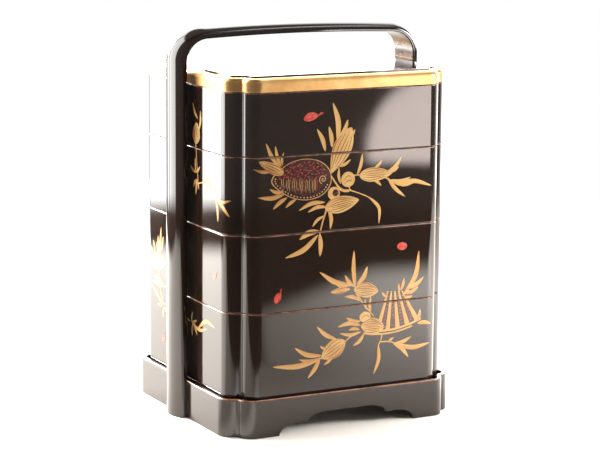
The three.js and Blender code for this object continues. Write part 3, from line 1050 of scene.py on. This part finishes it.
def plainerSpray(face, side):
    # One looser spray for a side that the photograph doesn't show. side is 1 or -1 and mirrors it.
    def at(x, z):
        return (side * x, z)

    def tufts(width, rows):
        for place, heading, spread, lengths, tone in rows:
            heading = heading if side > 0 else 180 - heading
            tuft(face, at(*place), heading, spread, lengths, width, tone)

    stem(face, [at(-48, 150), at(-20, 172), at(12, 186), at(40, 205)], 1.4)
    whelk(face, at(-6, 176), at(20, 192), 13, 0.66, 6, 0.45)
    whelk(face, at(-30, 164), at(-46, 182), 9, 0.6, 5, 0.45)
    whelk(face, at(19, 200), at(27, 232), 17, 0.66, 6, 0.45)
    tufts(4.8, [((40, 204), 40, 70, [18, 30, 24, 16], 0.68), ((40, 203), -20, 40, [20, 28], 0.64),
                ((-48, 150), 205, 60, [18, 30, 22], 0.5), ((-24, 170), 110, 30, [18, 24], 0.6),
                ((12, 186), -75, 50, [14, 22, 16], 0.6)])
    stem(face, [at(58, 116), at(30, 96), at(0, 84), at(-30, 70)], 1.4)
    whelk(face, at(22, 92), at(-2, 84), 13, 0.66, 6, 0.45)
    disc("gold", face, at(36, 104), 5.6, 0.66)
    tufts(4.6, [((58, 116), 60, 60, [14, 24, 16], 0.66), ((30, 97), 110, 30, [16, 22], 0.62),
                ((-30, 70), 200, 70, [16, 28, 20], 0.54), ((4, 85), -80, 60, [14, 20], 0.6)])
    petal(face, at(-56, 226), 12, 20, 0.55)
    petal(face, at(-44, 118), 10, 60, 0.65)


def filmMesh(name, half, limits, wanted, material, slot):
    # Each strip is cut to one box by holding its heights between the limits and leaving out the
    # cells that this flattens. What is left gets a back inside the wall and edges all round, so it
    # is closed.
    low, high = limits
    points, faces, tones, start = [], [], [], 0
    for turn, grid, tone, height in wanted:
        rows, columns = grid.shape[:2]
        flat = grid.reshape(-1, 2).copy()
        if flat[:, 1].max() <= low or flat[:, 1].min() >= high:
            continue
        flat[:, 1] = np.clip(flat[:, 1], low, high)
        i, j = np.meshgrid(np.arange(rows - 1), np.arange(columns - 1), indexing="ij")
        first = (i * columns + j).ravel()
        cells = np.stack([first, first + columns, first + columns + 1, first + 1], 1)
        x, z = flat[cells, 0], flat[cells, 1]
        area = 0.5 * (x * np.roll(z, -1, 1) - np.roll(x, -1, 1) * z).sum(1)
        kept = np.abs(area) > film["smallest"]
        if not kept.any():
            continue
        cells = cells[kept]
        if area.sum() < 0:
            cells = cells[:, ::-1]
        used, cells = np.unique(cells, return_inverse=True)
        cells = cells.reshape(-1, 4)
        flat, shade, count = flat[used], tone.ravel()[used], len(used)
        points += [onWall(half, turn, flat[:, 0], flat[:, 1], height),
                   onWall(half, turn, flat[:, 0], flat[:, 1], -film["sunk"])]
        tones += [shade, shade]
        ahead, behind = cells, np.roll(cells, -1, 1)
        edges = np.stack([ahead.ravel(), behind.ravel()], 1)
        key = edges[:, 0] * count + edges[:, 1]
        start0, end0 = edges[~np.isin(edges[:, 1] * count + edges[:, 0], key)].T
        walls = np.stack([start0, start0 + count, end0 + count, end0], 1)
        faces += [cells + start, cells[:, ::-1] + count + start, walls + start]
        start += 2 * count
    if not points:
        return
    piece = buildMesh(name, np.vstack(points), np.vstack(faces).tolist(), [material],
                      {"tone": np.concatenate(tones)})
    finishPiece(piece, slot)


upperSpray("front")
lowerSpray("front")
leftSprays("left")
plainerSpray("right", 1)
plainerSpray("back", -1)
for node, (base, rim) in tierSpans.items():
    half = list(nodeBox(node))[1][:2]
    limits = (base + film["shoulderGap"], rim - film["rimGap"])
    for kind, material in paints.items():
        filmMesh(f"{node}_{kind}_picture", half, limits, strokes[kind], material, kind + "_lacquer")
print("picture made")


# Camera, floor and light

camera = {
    "eye": (-821.640, -1596.056, 472.596),
    "yaw": 27.419,
    "pitch": 10.16,
    "roll": 0.461,
    "lens": 130.319,
}


def standAt(item, place, *axes):
    # Puts a camera or a lamp at a place in millimetres, with its axes to the right, up and back.
    matrix = np.eye(4)
    matrix[:3] = np.column_stack([*axes, np.array(place) * mm])
    item.matrix_world = Matrix(matrix.tolist())


def setCamera():
    # It looks along (sin yaw cos pitch, cos yaw cos pitch, -sin pitch) and is then rolled about
    # that line.
    yaw, pitch, roll = (math.radians(camera[key]) for key in ("yaw", "pitch", "roll"))
    forward = np.array([math.sin(yaw) * math.cos(pitch), math.cos(yaw) * math.cos(pitch),
                        -math.sin(pitch)])
    right = np.array([math.cos(yaw), -math.sin(yaw), 0])
    up = np.cross(right, forward)
    rightRolled = math.cos(roll) * right + math.sin(roll) * up
    upRolled = math.cos(roll) * up - math.sin(roll) * right
    data = bpy.data.cameras.new("photo_view")
    data.sensor_width = 36
    data.lens = camera["lens"]
    data.clip_start, data.clip_end = 0.05, 50
    bpy.context.scene.camera = linkObject("photo_view", data)
    standAt(bpy.context.scene.camera, camera["eye"], rightRolled, upRolled, -forward)


setCamera()

studio = {
    "floorColour": "#F1EBE3",
    "tooth": 10 / 3,          # grain of the floor's paper, and how high it stands
    "toothHeight": 0.03,
    # the floor's outline on the ground, and the two scales between which it fades out
    "floorCorners": ((-450, -225), (-200, -285), (38, -318), (128, -507), (340, -655), (420, -640),
                     (1100, -560), (1200, 300), (300, 1150), (-378, 691), (-433, 645), (-900, 250),
                     (-900, -60)),
    "floorFade": (0.9, 1.08),
    # two places where the floor's colour is darkened as painted shade: the share lost, and where it
    # sets in across (X, slanted by a share of Y) and ahead (Y)
    "floorPaintedShades": ({"share": 0.55, "slant": 0.0, "across": (-100, -160), "ahead": (-20, -75)},
                    {"share": 0.4, "slant": 0.45, "across": (60, -90), "ahead": (-170, -270)}),
    "backdrop": 9.0,
    # the backdrop's light all round: degrees from +Y towards +X, and a share of the strength above
    "backdropAround": ((-180, 0.02), (-72, 0.03), (-69, 1.3), (-33.4, 1.17), (-32.8, 0.2),
                       (-28.6, 0.2), (-28.0, 1.16), (0, 1.0), (60, 0.9), (85, 0.3), (105, 0.03),
                       (180, 0.02)),
    "backdropLow": (-9.85, -9.35),    # degrees between which the backdrop begins above the table
    "backdropHigh": (50.0, 56.0),     # and between which it ends, down to the share ceiling
    "ceiling": 0.03,
    "dimmer": (0.14, 15.0, 32.0),     # its low middle gets less light: share, centre and reach
    "dimmerHeight": (0.1, -0.035),    # and the heights between which that sets in, as sines
    "roomTint": (1.0, 0.82, 0.7, 1),
    "backdropTint": (1.0, 0.975, 0.95, 1),
}


def paleFloor():
    # A pale paper floor that fades out softly, as the edge of a table does out of focus. Its colour
    # is darkened in two zones in front and to the left as painted shade.
    material, tree = newMaterial("pale paper floor")
    place = addNode(tree, "TexCoord").outputs["Object"]
    shown = addNode(tree, "Attribute", {"attribute_name": "shown"}).outputs["Fac"]
    soft = addNode(tree, "MapRange", {"interpolation_type": "SMOOTHSTEP"}, {"Value": shown})
    tooth = addNode(tree, "TexNoise", {"Scale": 1 / (studio["tooth"] * mm), "Detail": 3.0},
                    {"Vector": place})
    bump = addNode(tree, "Bump", {"Distance": studio["toothHeight"] * mm}, {"Height": tooth})
    parts = addNode(tree, "SeparateXYZ", links={"Vector": place})

    # painted shade: each zone darkens the floor's colour by its share
    paintedShadeFactors = []
    for shade in studio["floorPaintedShades"]:
        slant = addNode(tree, "Math", {"operation": "MULTIPLY_ADD", 1: shade["slant"]},
                        {0: parts.outputs["Y"], 2: parts.outputs["X"]})
        across, ahead = (addNode(tree, "MapRange", {"interpolation_type": "SMOOTHSTEP",
                                                    "From Min": shade[key][0] * mm,
                                                    "From Max": shade[key][1] * mm},
                                 {"Value": value})
                         for key, value in (("across", slant), ("ahead", parts.outputs["Y"])))
        zone = addNode(tree, "Math", {"operation": "MULTIPLY"}, {0: across, 1: ahead})
        paintedShadeFactors.append(addNode(tree, "Math", {"operation": "MULTIPLY_ADD", 1: -shade["share"], 2: 1.0},
                           {0: zone}))
    both = addNode(tree, "Math", {"operation": "MULTIPLY"}, {0: paintedShadeFactors[0], 1: paintedShadeFactors[1]})
    tone = addNode(tree, "Mix", {"data_type": "RGBA", 6: (0, 0, 0, 1),
                                 7: hexColour(studio["floorColour"])}, {0: both})
    shader = addNode(tree, "BsdfPrincipled", {"Roughness": 0.8, "Specular IOR Level": 0.0},
                     {"Base Color": tone.outputs[2], "Normal": bump, "Alpha": soft})
    closeMaterial(tree, shader)
    outline = np.array(studio["floorCorners"], float)
    count = len(outline)
    flat = np.vstack([outline * scale for scale in studio["floorFade"]])
    ring = [(k, count + k, count + (k + 1) % count, (k + 1) % count) for k in range(count)]
    floor = newMesh("floor", np.column_stack([flat, np.zeros(2 * count)]),
                    [tuple(range(count))] + ring, [material],
                    {"shown": np.repeat([1.0, 0.0], count)})
    floor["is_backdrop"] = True


paleFloor()


def softWorld():
    # White seen directly. For light and reflections: a bright backdrop behind the object, cut off
    # level a little above the far edge of the floor, and a dim warm room on the camera's side.
    world = bpy.data.worlds.new("studio")
    world.use_nodes = True
    tree = world.node_tree
    tree.nodes.clear()
    way = addNode(tree, "TexCoord").outputs["Generated"]
    parts = addNode(tree, "SeparateXYZ", links={"Vector": way})
    azimuth = addNode(tree, "Math", {"operation": "ARCTAN2"}, {0: parts.outputs["X"],
                                                               1: parts.outputs["Y"]})
    place = addNode(tree, "MapRange", {"From Min": -math.pi, "From Max": math.pi},
                    {"Value": azimuth})
    ramp = addNode(tree, "ValToRGB", links={"Fac": place})
    around = studio["backdropAround"]
    strongest = max(level for _, level in around)
    while len(ramp.color_ramp.elements) < len(around):
        ramp.color_ramp.elements.new(0.5)
    for element, (angle, level) in zip(ramp.color_ramp.elements, around):
        element.position = (angle + 180) / 360
        element.color = (*[level / strongest] * 3, 1)
    low, high = ([math.sin(math.radians(a)) for a in studio[key]]
                 for key in ("backdropLow", "backdropHigh"))
    foot = addNode(tree, "MapRange", {"From Min": low[0], "From Max": low[1]},
                   {"Value": parts.outputs["Z"]})
    head = addNode(tree, "MapRange", {"From Min": high[0], "From Max": high[1], "To Min": 1.0,
                                      "To Max": studio["ceiling"]}, {"Value": parts.outputs["Z"]})
    share, centre, reach = studio["dimmer"]
    behind = addNode(tree, "Math", {"operation": "COMPARE", 1: math.radians(centre),
                                    2: math.radians(reach)}, {0: azimuth})
    below = addNode(tree, "MapRange", {"interpolation_type": "SMOOTHSTEP",
                                       "From Min": studio["dimmerHeight"][0],
                                       "From Max": studio["dimmerHeight"][1]},
                    {"Value": parts.outputs["Z"]})
    there = addNode(tree, "Math", {"operation": "MULTIPLY"}, {0: behind, 1: below})
    dimmer = addNode(tree, "Math", {"operation": "MULTIPLY_ADD", 1: share - 1, 2: 1.0}, {0: there})
    glow = foot
    for factor in (head, ramp, dimmer):
        glow = addNode(tree, "Math", {"operation": "MULTIPLY"}, {0: glow, 1: factor})
    glow = addNode(tree, "Math", {"operation": "MULTIPLY", 1: studio["backdrop"] * strongest},
                   {0: glow})
    bright = addNode(tree, "Background", {"Color": studio["backdropTint"]}, {"Strength": glow})
    room = addNode(tree, "Background", {"Color": studio["roomTint"],
                                        "Strength": studio["backdrop"] * around[0][1]})
    light = addNode(tree, "AddShader", links={0: bright, 1: room})
    white = addNode(tree, "Background", {"Color": (1, 1, 1, 1), "Strength": 1.0})
    seen = addNode(tree, "LightPath").outputs["Is Camera Ray"]
    both = addNode(tree, "MixShader", links={0: seen, 1: light, 2: white})
    addNode(tree, "OutputWorld", links={"Surface": both})
    bpy.context.scene.world = world


softWorld()

card = {
    "centre": (689.2, -1082.1, 55.0),
    "azimuth": 150.4,        # which way it lies from the object, degrees from +Y towards +X
    "radius": 104.0,
    "soft": 20.0,
    "cut": 38.0,             # height of its level lower edge
    "colour": "#FFEEE6",
    "strength": 12.5,
}


def roundCard():
    # A round white card in front of the object to the right, lit, with a soft edge and a level
    # foot: the pale patch that the polished front shows. Its own coordinates are millimetres across
    # and up.
    material, tree = newMaterial("lit round card")
    where = addNode(tree, "Attribute", {"attribute_name": "spot"}).outputs["Vector"]
    length = addNode(tree, "VectorMath", {"operation": "LENGTH"}, {0: where}).outputs["Value"]
    up = addNode(tree, "SeparateXYZ", links={"Vector": where}).outputs["Y"]
    foot, edge = card["cut"] - card["centre"][2], card["soft"] / 2
    near, far = card["radius"] - edge, card["radius"] + edge
    inside, over = (addNode(tree, "MapRange", {"interpolation_type": "SMOOTHSTEP",
                                               "From Min": start, "From Max": end},
                            {"Value": value})
                    for value, start, end in ((length, far, near), (up, foot - edge, foot + edge)))
    both = addNode(tree, "Math", {"operation": "MULTIPLY"}, {0: inside, 1: over})
    glow = addNode(tree, "Emission", {"Color": hexColour(card["colour"]),
                                      "Strength": card["strength"]})
    clear = addNode(tree, "BsdfTransparent")
    mix = addNode(tree, "MixShader", links={0: both, 1: clear, 2: glow})
    closeMaterial(tree, mix)
    azimuth = math.radians(card["azimuth"])
    right = np.array([-math.cos(azimuth), math.sin(azimuth), 0])
    reach = card["radius"] + card["soft"]
    spots = np.array([(-1, -1, 0), (1, -1, 0), (1, 1, 0), (-1, 1, 0)], float) * reach
    points = np.array(card["centre"]) + spots[:, :1] * right + spots[:, 1:2] * np.array([0, 0, 1.0])
    piece = newMesh("round_card", points, [(0, 1, 2, 3)], [material], {"spot": spots})
    piece.visible_camera = False
    piece.visible_shadow = False
    piece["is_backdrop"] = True


roundCard()

# Rectangular lights: where each is, the point it faces, its width and height, and its power.
softboxes = {
    "low_back_lamp": ((-640, 1740, 900), (0, 0, 0), (520, 520), 205),
    "upper_front_box": ((700, -1085, 215), (35, -9, 318), (200, 70), 0.75),
    "overhead_box": ((680, -182, 1574), (0, 0, 250), (380, 380), 4.0),
    "front_top_box": ((745, -1064, 1040), (0, 0, 290), (900, 1000), 2.8),
    "front_right_box": ((520, -430, 300), (400, -430, 0), (240, 240), 8.5),
}


def softbox(name, place, target, size, power):
    data = bpy.data.lights.new(name, "AREA")
    data.shape = "RECTANGLE"
    data.size, data.size_y = size[0] * mm, size[1] * mm
    data.energy = power
    lamp = linkObject(name, data)
    back = np.array(place, float) - np.array(target, float)
    back /= np.linalg.norm(back)
    side = np.cross([0, 0, 1], back)  # keeps its width level
    side /= np.linalg.norm(side)
    standAt(lamp, place, side, np.cross(back, side), back)
    lamp.visible_camera = False


for name, given in softboxes.items():
    softbox(name, *given)
bpy.context.scene.view_settings.view_transform = "Standard"
print("camera, floor and light set")

low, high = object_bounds()
